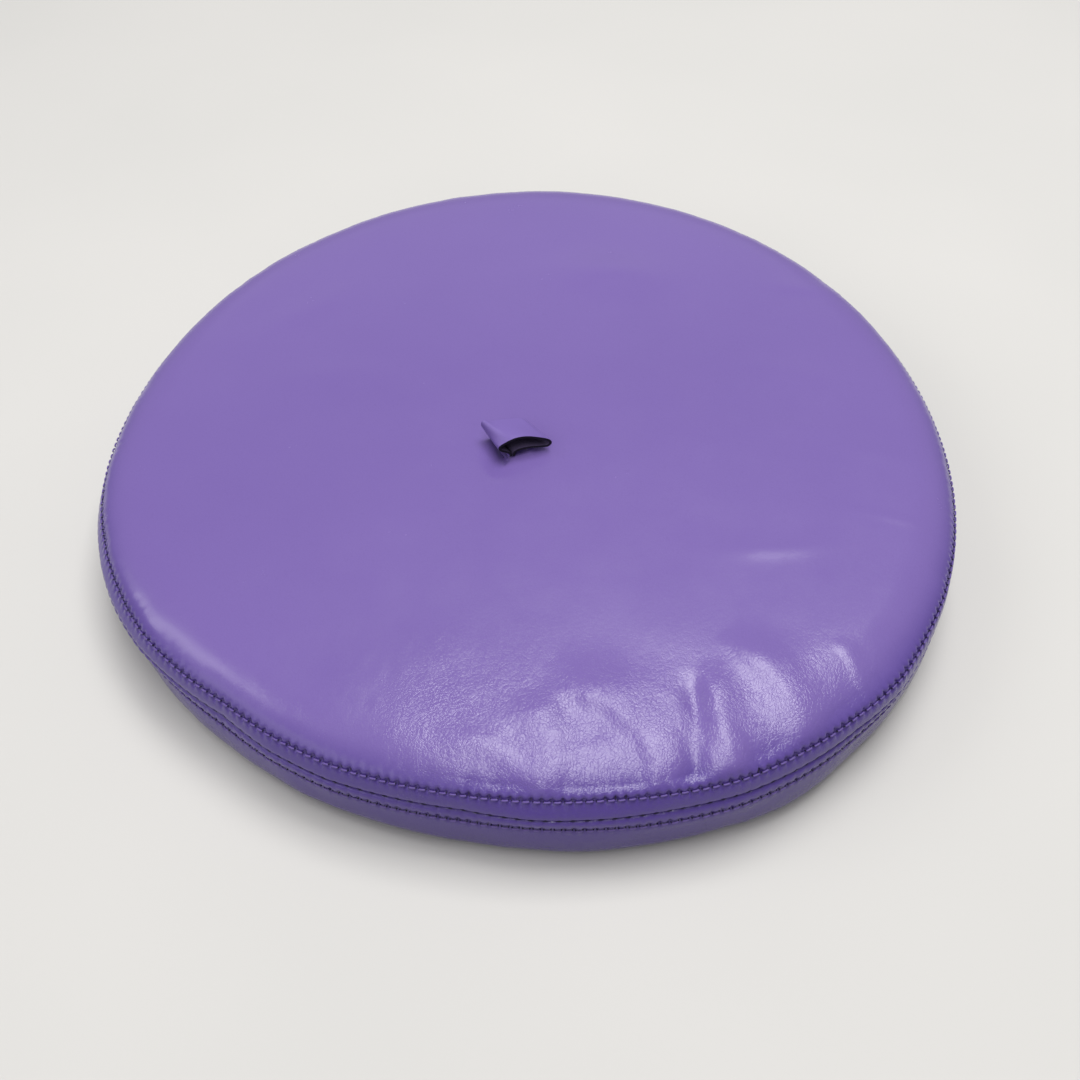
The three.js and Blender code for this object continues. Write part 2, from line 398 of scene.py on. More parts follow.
def leather(name, base, dark, rough=0.36, crackle=1.0, slotless=False):
    m = Mat(name)
    big = m.noise(9, 3, 0.55)
    mid = m.noise(60, 3, 0.6)
    fine = m.noise(900, 2, 0.6)
    warp = m.noise(260, 2, 0.5)
    add = m.n("ShaderNodeVectorMath", operation="MULTIPLY_ADD")
    m.link(warp.outputs["Color"], add.inputs[0])
    add.inputs[1].default_value = (0.0016, 0.0016, 0.0016)
    m.link(m.mp.outputs[0], add.inputs[2])
    cells = m.voronoi(1150, src=add.outputs[0])
    cells2 = m.voronoi(430, src=add.outputs[0])
    pores = m.voronoi(2200, feature="F1")
    c = m.mix(m.range(big.outputs["Fac"], 0.3, 0.7, 0, 1), rgb(*dark), rgb(*base))
    c = m.mix(m.range(cells.outputs["Distance"], 0.0, 0.10, 0.10, 0.0), c, rgb(*[k * 0.55 for k in base]))
    sep = m.n("ShaderNodeSeparateXYZ")
    m.link(m.mp.outputs[0], sep.inputs[0])
    # painted shade: below the upper stitch row, where the leather turns down over the rim and away from the light, the
    # colour is darkened and turned bluer
    rim_shade = m.n("ShaderNodeCombineColor")
    for k, low in enumerate((0.50, 0.45, 0.74)):
        m.link(m.range(sep.outputs["Z"], 0.0258, 0.0316, low, 1.0, "SMOOTHSTEP"), rim_shade.inputs[k])
    c = m.mix(1.0, c, rim_shade.outputs[0], "MULTIPLY")
    # painted shade: the colour darkens towards the bottom, from 20 mm down to 6 mm above the floor
    low = m.range(sep.outputs["Z"], 0.006, 0.020, 0.78, 1.0, "SMOOTHSTEP")
    bottom_shade = m.n("ShaderNodeCombineColor")
    for k in range(3):
        m.link(low, bottom_shade.inputs[k])
    c = m.mix(1.0, c, bottom_shade.outputs[0], "MULTIPLY")
    m.link(c, m.b.inputs["Base Color"])
    r = m.range(mid.outputs["Fac"], 0.3, 0.7, rough - 0.02, rough + 0.05)
    r2 = m.math("ADD", r, m.range(fine.outputs["Fac"], 0.3, 0.7, -0.015, 0.015))
    m.link(r2, m.b.inputs["Roughness"])
    # the grain opens up where the leather is folded at the front
    worked = m.range(sep.outputs["Y"], -0.085, -0.118, 0.16, 1.0, "SMOOTHSTEP")
    worked = m.math("MULTIPLY", worked, m.range(sep.outputs["X"], -0.042, -0.018, 0.3, 1.0, "SMOOTHSTEP"))
    worked = m.math("MULTIPLY", worked, m.range(warp.outputs["Fac"], 0.3, 0.7, 0.6, 1.0))
    hc = m.math("MULTIPLY", m.range(cells.outputs["Distance"], 0.0, 0.18, 0.0, 1.0), worked)
    hc2 = m.math("MULTIPLY", m.range(cells2.outputs["Distance"], 0.0, 0.22, 0.0, 1.0), worked)
    h = m.bump(hc, 0.000034 * crackle, 1.0)
    h = m.bump(hc2, 0.000036 * crackle, 1.0, h)
    h = m.bump(mid.outputs["Fac"], 0.0002, 0.2, h)
    h = m.bump(m.math("MULTIPLY", pores.outputs["Distance"], worked), 0.000008, 0.5, h)
    m.link(h, m.b.inputs["Normal"])
    m.b.inputs["IOR"].default_value = 1.45
    m.b.inputs["Specular IOR Level"].default_value = 0.5
    return m.m


def plain(name, base, rough, bump_scale=1200, bump=0.00004, spec=0.5, vary=0.12):
    m = Mat(name)
    a = m.noise(bump_scale, 3, 0.6)
    b = m.noise(35, 2, 0.5)
    c = m.mix(m.range(b.outputs["Fac"], 0.3, 0.7, 0, 1), rgb(*[k * (1 - vary) for k in base]), rgb(*base))
    m.link(c, m.b.inputs["Base Color"])
    m.link(m.range(a.outputs["Fac"], 0.3, 0.7, rough - 0.05, rough + 0.05), m.b.inputs["Roughness"])
    m.link(m.bump(a.outputs["Fac"], bump, 1.0), m.b.inputs["Normal"])
    m.b.inputs["Specular IOR Level"].default_value = spec
    return m.m


def satin(name, base):
    m = Mat(name)
    w1 = m.n("ShaderNodeTexWave", wave_type="BANDS", bands_direction="X")
    w2 = m.n("ShaderNodeTexWave", wave_type="BANDS", bands_direction="Y")
    for w in (w1, w2):
        w.inputs["Scale"].default_value = 900
        w.inputs["Distortion"].default_value = 0.6
        m.link(m.mp.outputs[0], w.inputs["Vector"])
    wv = m.math("MULTIPLY", w1.outputs["Fac"], w2.outputs["Fac"])
    n = m.noise(30, 3, 0.5)
    c = m.mix(m.range(n.outputs["Fac"], 0.3, 0.7, 0, 1), rgb(*[k * 0.8 for k in base]), rgb(*base))
    c = m.mix(m.math("MULTIPLY", wv, 0.25), c, rgb(*[min(1, k * 1.6) for k in base]))
    m.link(c, m.b.inputs["Base Color"])
    m.link(m.range(wv, 0, 1, 0.42, 0.34), m.b.inputs["Roughness"])
    m.link(m.bump(wv, 0.00003, 1.0), m.b.inputs["Normal"])
    m.b.inputs["Sheen Weight"].default_value = 0.25
    m.b.inputs["Anisotropic"].default_value = 0.4
    return m.m


def felt(name, base):
    m = Mat(name)
    f = m.noise(1500, 5, 0.7, 1.5)
    g = m.noise(220, 3, 0.6)
    c = m.mix(m.range(f.outputs["Fac"], 0.3, 0.7, 0, 1), rgb(*[k * 0.75 for k in base]), rgb(*base))
    m.link(c, m.b.inputs["Base Color"])
    m.b.inputs["Roughness"].default_value = 0.95
    h = m.bump(f.outputs["Fac"], 0.00025, 1.0)
    m.link(m.bump(g.outputs["Fac"], 0.0004, 0.6, h), m.b.inputs["Normal"])
    m.b.inputs["Sheen Weight"].default_value = 0.3
    return m.m


PURPLE = (0.163, 0.107, 0.332)
DARKER = (0.152, 0.099, 0.317)
M_TOP = leather("leather_purple", PURPLE, DARKER, 0.215)
M_STRIP = leather("leather_strip", (0.160, 0.103, 0.350), (0.145, 0.092, 0.320), 0.38, 0.8)
M_FLESH = plain("leather_back", (0.075, 0.055, 0.12), 0.85, 900, 0.00015, 0.2, 0.3)
M_CUT = plain("leather_cut_edge", (0.012, 0.009, 0.018), 0.7, 1500, 0.0001, 0.25, 0.3)
M_THREAD = plain("thread_purple", (0.120, 0.076, 0.285), 0.55, 5200, 0.00004, 0.35, 0.15)
# near-black thread for the seams; also painted shade at both ends of each top stitch
M_DARK_THREAD_AND_HOLE_SHADE = plain("thread_dark_and_hole_shade", (0.016, 0.010, 0.045), 0.7, 5200, 0.00004, 0.3, 0.2)
M_SATIN = satin("lining_satin", (0.030, 0.020, 0.050))
M_FELT = felt("felt_grey", (0.40, 0.38, 0.41))
M_BAND = plain("band_leather", (0.032, 0.024, 0.048), 0.5, 700, 0.00008, 0.4, 0.2)
M_PATCH = plain("patch_fabric", (0.02, 0.016, 0.03), 0.85, 1800, 0.00012, 0.3, 0.3)

# ---------------------------------------------------------------- outer leather: where it bulges and dips
# broad bulges and hollows of the front shoulder and crown: angle deg, radius, half widths mm (round, in), height mm
FORMS = [
    (30.1, 76.2, 13, 7.5, -4, 1.5),
    (101.5, 67.5, 9, 3.2, -8, 0.3),
    (88.1, 18.9, 10, 4.5, -20, 0.32),
    (88.0, -9.6, 9, 4.0, -10, 0.3),
    (113.0, -22.1, 9, 3.0, -15, 0.22),
    (70.6, -61.7, 9, 2.6, 4, 0.5),
    (109.9, -49.2, 6, 1.6, -18, 0.16),
    (-67.4, 17.0, 12, 5, 5, 0.32),
    (-79.4, 54.3, 14, 5, 42, 0.34),
    (-121.6, 79.6, 14, 6, 40, 0.4),
    (20.1, -94.7, 9, 9, 0, -0.22),
    (37.0, -87.8, 10, 8, 20, 0.12),
    (-5.9, -94.7, 8, 10, 0, -0.15),
    (48.8, -80.7, 16, 12, 30, 0.15),
]


# folds of the front: line of the crest (heading to the front), width to its left, width to its right, height
FOLDS = [
    ([(4.2, -109.0), (5.6, -117.0), (6.6, -123.9), (6.4, -131.9), (5.1, -138.4)], 2.9, 6.0, 1.05),
    ([(3.0, -109.5), (14.0, -111.5), (22.5, -115.5), (30.0, -123.0), (33.6, -131.5), (33.5, -139.0)], 7.0, 2.5, 1.4),
    ([(46.5, -101.0), (48.8, -106.2), (50.9, -115.7), (52.8, -126.0), (52.5, -135.6)], 4.0, 3.0, 1.15),
    ([(54.1, -90.8), (60.3, -98.6), (67.2, -107.8), (72.9, -118.8), (72.7, -125.9)], 5.5, 3.4, 1.5),
    ([(-24.8, -126.5), (-12.9, -126.6), (-5.7, -130.0), (-1.3, -135.0), (4.9, -139.5)], 3.0, 2.0, 0.45),
    ([(43.0, -103.0), (44.4, -109.0), (44.6, -117.0), (44.2, -126.0), (42.8, -136.0)], 2.1, 2.6, -1.35),
    ([(84.1, -93.5), (87.8, -100.3), (90.1, -108.1)], 2.5, 1.2, 0.35),
    ([(17.0, -124.0), (18.4, -130.0), (20.0, -136.0)], 7.0, 7.0, 0.3),
]
# where the front starts to fall away, by angle, and how steeply
FALL_DEG = [-60, -40, -25, -16, -10, -6, -2, 3, 9, 14.5, 17.5, 19.5, 22, 24.5, 31, 40, 50, 65, 90]
FALL_AT = [136, 135, 134, 132, 129.5, 125, 117, 110, 107.5, 108.5, 111, 112, 113, 114, 114, 121, 126, 128, 132]
FALL_BY = [0, 0, 0.01, 0.03, 0.07, 0.09, 0.10, 0.105, 0.105, 0.105, 0.10, 0.035, 0.035, 0.10, 0.10, 0.08, 0.05, 0.03, 0]


def fold(x, y, line, wl, wr, h):
    """height of one fold: a crest with its own width on each side, fading at both ends"""
    p = np.asarray(line, float)
    seg = np.diff(p, axis=0)
    ln = np.hypot(seg[:, 0], seg[:, 1])
    tot = ln.sum()
    best = np.full(x.shape, 1e9)
    side = np.zeros_like(x)
    at = np.zeros_like(x)
    run = 0.0
    for i in range(len(seg)):
        ux, uy = seg[i] / ln[i]
        dx, dy = x - p[i, 0], y - p[i, 1]
        t = dx * ux + dy * uy
        tc = np.clip(t, 0, ln[i])
        ex, ey = dx - tc * ux, dy - tc * uy
        d = np.hypot(ex, ey)
        sgn = np.sign(ux * dy - uy * dx)
        m = d < best
        best = np.where(m, d, best)
        side = np.where(m, sgn, side)
        at = np.where(m, (run + tc) / tot, at)
        run += ln[i]
    w = np.where(side > 0, wl, wr)
    taper = smooth01(at / 0.35) * (1 - 0.35 * at)
    return h * taper * np.exp(-0.5 * (best / w) ** 2)


def fall(x, y):
    """the front of the crown falls away before the rim, over the plan"""
    dx, dy = x - SX, -(y - SY)
    a = np.arctan2(dx, dy)
    r = np.hypot(dx, dy) / (1 + (outline(a) - 1))
    d = np.degrees(a)
    r0 = np.interp(d, FALL_DEG, FALL_AT)
    by = np.interp(d, FALL_DEG, FALL_BY)
    over = np.log1p(np.exp(np.clip((r - r0) / 1.3, -30, 30))) * 1.3
    return -by * 14 * np.tanh(over / 14)


def forms(x, y):
    """bulges of the crown in mm, over the plan"""
    h = fall(x, y)
    for line, wl, wr, hh in FOLDS:
        h = h + fold(x, y, line, wl, wr, hh)
    for fx, fy, wa, wb, turn, hh in FORMS:
        c, s = math.cos(math.radians(turn)), math.sin(math.radians(turn))
        u = (x - fx) * c + (y - fy) * s
        v = -(x - fx) * s + (y - fy) * c
        h += hh * np.exp(-0.5 * ((u / wa) ** 2 + (v / wb) ** 2))
    return h


def stitch_phase(a, count, seed):
    """place in the stitch, 0 at the needle hole and 0.5 at the middle of the stitch"""
    return (a * count / TAU) % 1.0


def hole_depth(a, count):
    p = stitch_phase(a, count, 0)
    d = np.minimum(p, 1 - p)
    return bell(d, 0.13)


def body_detail(r, z, a):
    """how far the outer leather stands off its smooth section, mm, outwards: zero everywhere"""
    x, y = r * np.sin(a), -r * np.cos(a)
    d = np.zeros_like(a)
    return d


def section_point(line_pt, nrm, off, a):
    r, z = rim_shift(line_pt[0] + 0 * a, line_pt[1] + 0 * a, a)
    return place(r + nrm[0] * off, z + nrm[1] * off, a)


def angles(n):
    return np.arange(n) * TAU / n


# top panel, outer line from the middle outwards to the seam
TOP_LINE = [(0, T), (40, T), (80, T - 0.05), (100, T - 0.1), (112, T - 0.15), (119.5, T - 0.25), (126.5, T - 0.6),
            (131.8, T - 1.65), (135.4, T - 3.2), (137.1, T - 4.8), (138.0, T - 6.7), (138.9, T - 8.4),
            (139.5, S + 1.4), (139.45, S + 0.6), (139.1, S + 0.2), (138.3, S + 0.1), (136.9, S + 0.1)]
UNDER_LINE = [(136.9, S - 0.1), (138.3, S - 0.1), (139.25, S - 0.25), (139.75, S - 0.85), (139.85, S - 1.9),
              (139.45, S - 3.9), (139.7, S - 6), (139.9, 10), (139.6, 6), (138.2, 2.6), (135.6, 0.55), (132, 0.02),
              (120, 0), (105, 0), (97.2, 0.02), (94.6, 0.3), (92.6, 1.3), (91.5, 3.1), (91.3, 5.5), (91.3, 9.0)]


def groove_row(s_signed, a, depth, count, seed):
    """the dip of a stitch row: a shallow channel with a hole at each end of every stitch and small puckers between.
    s_signed is the distance from the row along the section, positive inwards"""
    p = stitch_phase(a, count, 0)
    hole = bell(np.minimum(p, 1 - p), 0.15)
    g = LAT[seed]
    k = np.floor(a * count / TAU).astype(int)
    var = 1 + 0.25 * g[k % 64, (k // 64) % 64]
    chan = -depth * 0.10 * bell(s_signed, 0.9)
    holes = -depth * 1.3 * hole * bell(s_signed, 0.55) * var
    # puckers: the leather swells between the holes on both sides of the row
    puck = depth * 0.26 * (1 - hole) * (bell(s_signed - 1.05, 0.5) + bell(s_signed + 1.05, 0.5)) * var
    pinch = -depth * 0.30 * hole * (bell(s_signed - 1.1, 0.75) + bell(s_signed + 1.1, 0.75)) * var
    return chan + holes + puck + pinch


def crown_relief(x, y):
    """gentle unevenness of the crown, over the plan, mm"""
    front = smooth01((-80 - y) / 25)
    return 0.14 * noise(x, y, 46, 1) + (0.02 + 0.05 * front) * noise(x, y, 13, 2) + 0.018 * front * noise(x * 1.6, y, 4.2, 3) + forms(x, y)


BUMP = (8.0, -6.5)


def seat(x, y):
    """dip of the crown about the stem's slit, mm"""
    dx, dy = x - SX - STEM[0], y - SY - STEM[1]
    u = dx * ACROSS[0] + dy * ACROSS[1]
    v = dx * ALONG[0] + dy * ALONG[1]
    groove = -1.5 * np.exp(-0.5 * (u / 1.0) ** 2) * smooth01((6.6 - np.abs(v)) / 1.6)
    dish = -0.7 * np.exp(-0.5 * ((u / 5.5) ** 2 + (v / 7.5) ** 2))
    pull = -1.2 * np.exp(-0.5 * (((u + 3.2) / 2.6) ** 2 + ((v + 4.5) / 4.0) ** 2))
    bump = 0.75 * np.exp(-0.5 * (((u - BUMP[0]) / 1.3) ** 2 + ((v - BUMP[1]) / 0.8) ** 2))
    return groove + dish + pull + bump


def along_section(line):
    return np.concatenate([[0], np.cumsum(np.hypot(*np.diff(line, axis=0).T))])


def nearest_s(line, target):
    d = np.hypot(line[:, 0] - target[0], line[:, 1] - target[1])
    i = int(np.argmin(d))
    return along_section(line)[i]


TOP_SEC = resample(TOP_LINE, lambda p: 1.3 if 6 < p[0] < 34 else 2.2 if p[0] < 95 else 0.95 if p[0] < 134 else 0.45)
TOP_NRM = normals2(TOP_SEC)          # points up and outwards
TOP_ARC = along_section(TOP_SEC)
ROW_ARC = nearest_s(TOP_SEC, UPPER_AT)
LIP_ARC = nearest_s(TOP_SEC, (139.42, S + 0.75))


def top_points(i, n, depth, detail):
    """ring i of the crown's section, depth mm inside the outer face"""
    r, z = TOP_SEC[i]
    a = angles(n)
    base = section_point(TOP_SEC[i], TOP_NRM[i], 0.0, a)
    x, y = base[:, 0], base[:, 1]
    fade = smooth01((ROW_ARC - 0.5 - TOP_ARC[i]) / 4.2) if r > 60 else 1.0
    dip = seat(x, y)
    if depth > 0.5:
        dip = np.minimum(dip, 0)
    off = crown_relief(x, y) * fade + dip - depth
    if detail:
        off = off + rim_relief(TOP_ARC[i] - ROW_ARC, a, r, z)
    return section_point(TOP_SEC[i], TOP_NRM[i], off, a)


def middle_z(depth):
    x, y = np.array([SX]), np.array([SY])
    return T + float(crown_relief(x, y)[0]) + float(seat(x, y)[0]) - depth


def build_top():
    R = Rings()
    i0 = R.point((SX, SY, middle_z(0)))
    last = len(TOP_SEC) - 1
    for i in range(1, last + 1):
        r, z = TOP_SEC[i]
        n = 163 if r < 34 else 489 if r < 95 else 978 if r < 134.0 else 1956
        if i == last or TOP_ARC[i] > LIP_ARC + 0.5:
            n = 978
        pts = top_points(i, n, 0.0, True)
        if i == 1:
            R.from_point(i0, pts)
        else:
            R.ring(pts)
    # inner side, one leather in, coarse
    R.mat = 1
    for r, z in ((136.9, S + 1.12), (137.9, S + 1.2), (138.25, S + 1.9)):
        R.ring(section_point((r, z), (0, 1), 0.0, angles(978)))
    end = int(np.argmin(np.abs(TOP_ARC - (LIP_ARC - 2.4))))
    for i in range(end, 2, -4):
        r = TOP_SEC[i][0]
        R.ring(top_points(i, 978 if r > 100 else 489 if r > 34 else 163, 1.0, False))
    R.point((SX, SY, middle_z(1.0)))
    return R.build("crown_leather_top", [M_TOP, M_FLESH])


def build_top_felt():
    """felt between 1.25 and 2.15 mm under the outer face"""
    R = Rings()
    i0 = R.point((SX, SY, middle_z(1.25)))
    pick = [i for i in range(3, len(TOP_SEC), 4) if TOP_SEC[i][0] < 132.0]
    for k, i in enumerate(pick):
        pts = top_points(i, 489 if TOP_SEC[i][0] > 34 else 163, 1.25, False)
        if k == 0:
            R.from_point(i0, pts)
        else:
            R.ring(pts)
    for i in reversed(pick):
        R.ring(top_points(i, 489 if TOP_SEC[i][0] > 34 else 163, 2.15, False))
    R.point((SX, SY, middle_z(2.15)))
    return R.build("interlining_top", [M_FELT], 60)


def rim_relief(s, a, r, z):
    """detail near the upper stitch row; s is the distance past the row, towards the seam"""
    out = groove_row(s, a, 0.62, STITCHES, 1)
    # lip of the seam, notched by each stitch of the seam
    ph = (a * NOTCHES / TAU) % 1.0
    notch = bell(np.minimum(ph, 1 - ph), 0.10)
    near = bell(z - (S + 0.7), 0.7) if z > S + 0.3 else bell(z - (S + 0.3), 0.3)
    out = out - 0.12 * notch * near
    # fine radial creases above the row
    busy = 0.25 + 0.75 * bell(np.degrees(wrap(a)) + 6, 6) + 0.4 * bell(np.degrees(wrap(a)) - 22, 14)
    cre = noise(137.9 * np.sin(a), 137.9 * np.cos(a), 1.6, 3) * bell(s + 3.0, 1.8) * 0.12 * busy
    wide = noise(137.9 * np.sin(a), 137.9 * np.cos(a), 7.5, 4) * bell(s + 1.0, 3.5) * 0.10
    return out + cre + wide


def build_under():
    line = resample(UNDER_LINE, lambda p: 0.45 if p[1] > 14.5 else 0.85 if p[0] > 134 else 2.2 if p[0] > 97 else 0.8)
    nrm = -normals2(line)
    # normals of the section, turned round, meant to point away from the inside of the leather
    arc = along_section(line)
    s_row = nearest_s(line, LOWER_AT)
    mid = len(line) // 3
    R = Rings()
    for i in range(len(line)):
        r, z = line[i]
        n = 1956 if z > 14.5 and r > 138.4 else 978 if r > 134 else 489
        a = angles(n)
        nn = -nrm[i]
        out = groove_row(arc[i] - s_row, a, 0.5, STITCHES, 2) if z > 8 else 0 * a
        if r > 130 and z > 14:
            ph = (a * NOTCHES / TAU) % 1.0
            notch = bell(np.minimum(ph, 1 - ph), 0.12)
            out = out - 0.26 * notch * bell(z - (S - 0.9), 0.75)
        low = smooth01((z - 0.3) / 3) * smooth01((16 - z) / 4)
        out = out + (0.25 * noise(139 * np.sin(a), 139 * np.cos(a) + z, 26, 5) + 0.10 * noise(139 * np.sin(a), 139 * np.cos(a) + z, 8, 3)) * low * (r > 120)
        R.ring(section_point(line[i], nn, out, a))
    inner = [(92.3, 9.0), (92.3, 5.6), (92.45, 3.7), (93.3, 2.2), (94.9, 1.3), (97.2, 1.02), (105, 1.0), (120, 1.0),
             (131.8, 1.02), (134.9, 1.45), (137.2, 3.1), (138.6, 6.2), (138.9, 10), (138.7, S - 6), (138.45, S - 3.9),
             (138.75, S - 2.0), (138.3, S - 1.25), (136.9, S - 1.12)]
    R.mat = 1
    for r, z in inner:
        n = 489 if r < 136.5 else 978
        R.ring(section_point((r, z), (0, 0), 0.0, angles(n)))
    R.close()
    return R.build("crown_leather_under", [M_TOP, M_FLESH])


# ---------------------------------------------------------------- the separate stitches of a row
def stitches(name, at, line, count, length, radius, sink, mat, seed, row_off):
    """count short lengths of thread, each bowed out of its two needle holes"""
    sec = resample(line, 0.2)
    i = int(np.argmin(np.hypot(sec[:, 0] - at[0], sec[:, 1] - at[1])))
    nrm = normals2(sec)[i]
    pitch = TAU / count
    sides, rings = 7, 9
    V, F, K = [], [], []
    g = np.random.default_rng(seed)
    base = 0
    for k in range(count):
        a0 = (k + 0.5) * pitch
        w = length / (at[0] * 1.0)
        jit = g.normal(0, 0.03)
        slant = g.normal(0.10, 0.05)
        lift = g.normal(0, 0.025)
        t = np.linspace(-0.5, 0.5, rings)
        aa = a0 + t * w + jit * pitch * 0.3
        # along the row, dipping into the holes at both ends
        bow = (1 - (2 * np.abs(t)) ** 3) * 0.30 - 0.30 * (np.abs(t) > 0.47)
        h = sink + bow + lift
        side = slant * t * 2
        c = np.array([section_point((sec[i, 0], sec[i, 1] + side[j]), nrm, h[j] + row_off, np.array([aa[j]]))[0] for j in range(rings)])
        rad = radius * np.sqrt(np.clip(1 - (2 * np.abs(t)) ** 6 * 0.75, 0.05, 1))
        d = np.gradient(c, axis=0)
        d /= np.linalg.norm(d, axis=1)[:, None]
        up = np.array([math.sin(a0) * nrm[0], -math.cos(a0) * nrm[0], nrm[1]])
        sdir = np.cross(d, up)
        sdir /= np.linalg.norm(sdir, axis=1)[:, None]
        udir = np.cross(sdir, d)
        th = np.arange(sides) * TAU / sides
        ring = c[:, None, :] + rad[:, None, None] * (np.cos(th)[None, :, None] * sdir[:, None, :] + np.sin(th)[None, :, None] * udir[:, None, :])
        V.append(ring.reshape(-1, 3))
        V.append(c[[0, -1]])
        f = []
        for j in range(rings - 1):
            for q in range(sides):
                q2 = (q + 1) % sides
                f.append((base + j * sides + q, base + j * sides + q2, base + (j + 1) * sides + q2, base + (j + 1) * sides + q))
        F.append(np.array(f))
        # painted shade: the first and last segment of each stitch take the near-black thread, standing for the shade in
        # the needle holes
        K.append(np.array([1 if j < 1 or j > rings - 3 else 0 for j in range(rings - 1) for q in range(sides)]))
        e0, e1 = base + rings * sides, base + rings * sides + 1
        tri = [(e0, base + (q + 1) % sides, base + q) for q in range(sides)]
        o = base + (rings - 1) * sides
        tri += [(e1, o + q, o + (q + 1) % sides) for q in range(sides)]
        F.append(np.array(tri))
        # painted shade: the end caps take the near-black thread as well
        K.append(np.ones(len(tri), int))
        base += rings * sides + 2
    quads = np.concatenate([f for f in F if f.shape[1] == 4])
    tris = np.concatenate([f for f in F if f.shape[1] == 3])
    hole_shade_slots = np.concatenate([k for k, f in zip(K, F) if f.shape[1] == 4] + [k for k, f in zip(K, F) if f.shape[1] == 3])
    return make(name, np.concatenate(V), [quads, tris], [mat, M_DARK_THREAD_AND_HOLE_SHADE], hole_shade_slots)


def ring_thread(name, r, z, rad, mat, n=489, wob=None, centre=None, sides=6):
    """a closed ring of sewing thread"""
    a = angles(n)
    th = np.arange(sides) * TAU / sides
    V = []
    for q in range(sides):
        rr, zz = r + rad * math.cos(th[q]), z + rad * math.sin(th[q])
        w = wob(a) if wob is not None else 0 * a
        if centre is None:
            p = section_point((rr, zz), (1, 0), w, a)
        else:
            p = np.stack([centre[0] + (rr + w) * np.sin(a), centre[1] - (rr + w) * np.cos(a), zz + 0 * a], -1)
        V.append(p)
    V = np.stack(V, 1).reshape(-1, 3)
    i = np.arange(n)[:, None] * sides
    j = np.roll(np.arange(n), -1)[:, None] * sides
    q = np.arange(sides)[None, :]
    q2 = (q + 1) % sides
    F = np.stack([i + q, j + q, j + q2, i + q2], -1).reshape(-1, 4)
    return make(name, V, [F], [mat])


def shell(name, outer, inner, mats, n=326, relief=None, relief_in=None, apex=False, sharp=50):
    """a closed turned layer between two section lines, coarse"""
    R = Rings()
    a = angles(n)

    def rings(lines, rel, rev=False):
        for r, z in lines:
            p = section_point((r, z), (0, 1), 0.0, a)
            if rel is not None:
                p[:, 2] += rel(p[:, 0], p[:, 1], r)
            yield p

    if apex:
        z0 = outer[0][1] + (float(relief(np.array([SX]), np.array([SY]), 0.0)[0]) if relief else 0)
        i0 = R.point((SX, SY, z0))
        first = True
        for p in rings(outer[1:], relief):
            if first:
                R.from_point(i0, p)
                first = False
            else:
                R.ring(p)
        for p in rings(inner[:-1], relief_in or relief):
            R.ring(p)
        z1 = inner[-1][1] + (float((relief_in or relief)(np.array([SX]), np.array([SY]), 0.0)[0]) if (relief_in or relief) else 0)
        R.point((SX, SY, z1))
    else:
        for p in rings(outer, relief):
            R.ring(p)
        for p in rings(inner, relief_in or relief):
            R.ring(p)
        R.close()
    return R.build(name, mats, sharp)


def dense(line, step):
    out = [line[0]]
    for p, q in zip(line[:-1], line[1:]):
        k = max(1, int(math.hypot(q[0] - p[0], q[1] - p[1]) / step))
        for i in range(1, k + 1):
            out.append((p[0] + (q[0] - p[0]) * i / k, p[1] + (q[1] - p[1]) * i / k))
    return out


# ---------------------------------------------------------------- build the crown
top = build_top()
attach(top, "crown")
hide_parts("crown_top_panel")
under = build_under()
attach(under, "crown")
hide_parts("crown_under_panel")

up_row = stitches("topstitch_upper", UPPER_AT, TOP_LINE, STITCHES, 2.05, 0.26, 0.0, M_THREAD, 3, 0.0)
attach(up_row, "crown")
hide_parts("topstitch_upper_thread")
lo_row = stitches("topstitch_lower", LOWER_AT, UNDER_LINE, STITCHES, 2.05, 0.26, 0.0, M_THREAD, 5, 0.0)
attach(lo_row, "crown")
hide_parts("topstitch_lower_thread")

seam = ring_thread("rim_seam_stitching", 138.9, S, 0.24, M_DARK_THREAD_AND_HOLE_SHADE, 2008,
                   lambda a: 0.22 * np.cos(a * NOTCHES))
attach(seam, "crown")
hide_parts("rim_seam_thread")


f_top = build_top_felt()
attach(f_top, "crown")
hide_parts("top_interlining")

f_un = shell("interlining_under",
             dense([(98.2, 1.35), (131.5, 1.35), (134.5, 1.8), (136.7, 3.4), (138.2, 6.5), (138.5, 10)], 5),
             dense([(137.7, 10), (137.4, 6.9), (136.0, 4.2), (134.0, 2.6), (131.3, 2.15), (98.2, 2.15)], 5), [M_FELT], 326)
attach(f_un, "crown")
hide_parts("under_interlining")


def drape(x, y, r):
    """soft folds of the lining"""
    a = np.arctan2(x - SX, -(y - SY))
    k = math.exp(-0.5 * ((r - 118) / 13.0) ** 2)
    return 0.22 * noise(x, y, 28, 2) * (r < 128) + 0.35 * k * np.sin(a * 31 + 2.2 * noise(x, y, 40, 4))


lin_top = shell("lining_top", dense([(0, T - 6.2), (95, T - 5.9), (120, T - 5.0), (130, T - 6.0), (133.2, T - 7.6), (134.6, T - 9.8), (134.9, S - 1.4)], 3),
                dense([(134.4, S - 1.4), (134.1, T - 9.9), (132.8, T - 7.95), (129.8, T - 6.5), (119.9, T - 5.5), (95, T - 6.4), (0, T - 6.7)], 3),
                [M_SATIN], 326, drape, None, True)
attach(lin_top, "crown")
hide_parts("top_lining")


def drape2(x, y, r):
    a = np.arctan2(x - SX, -(y - SY))
    k = math.exp(-0.5 * ((r - 114) / 10.0) ** 2)
    return 0.28 * k * (1 + np.sin(a * 37 + 2.0 * noise(x, y, 40, 5)))


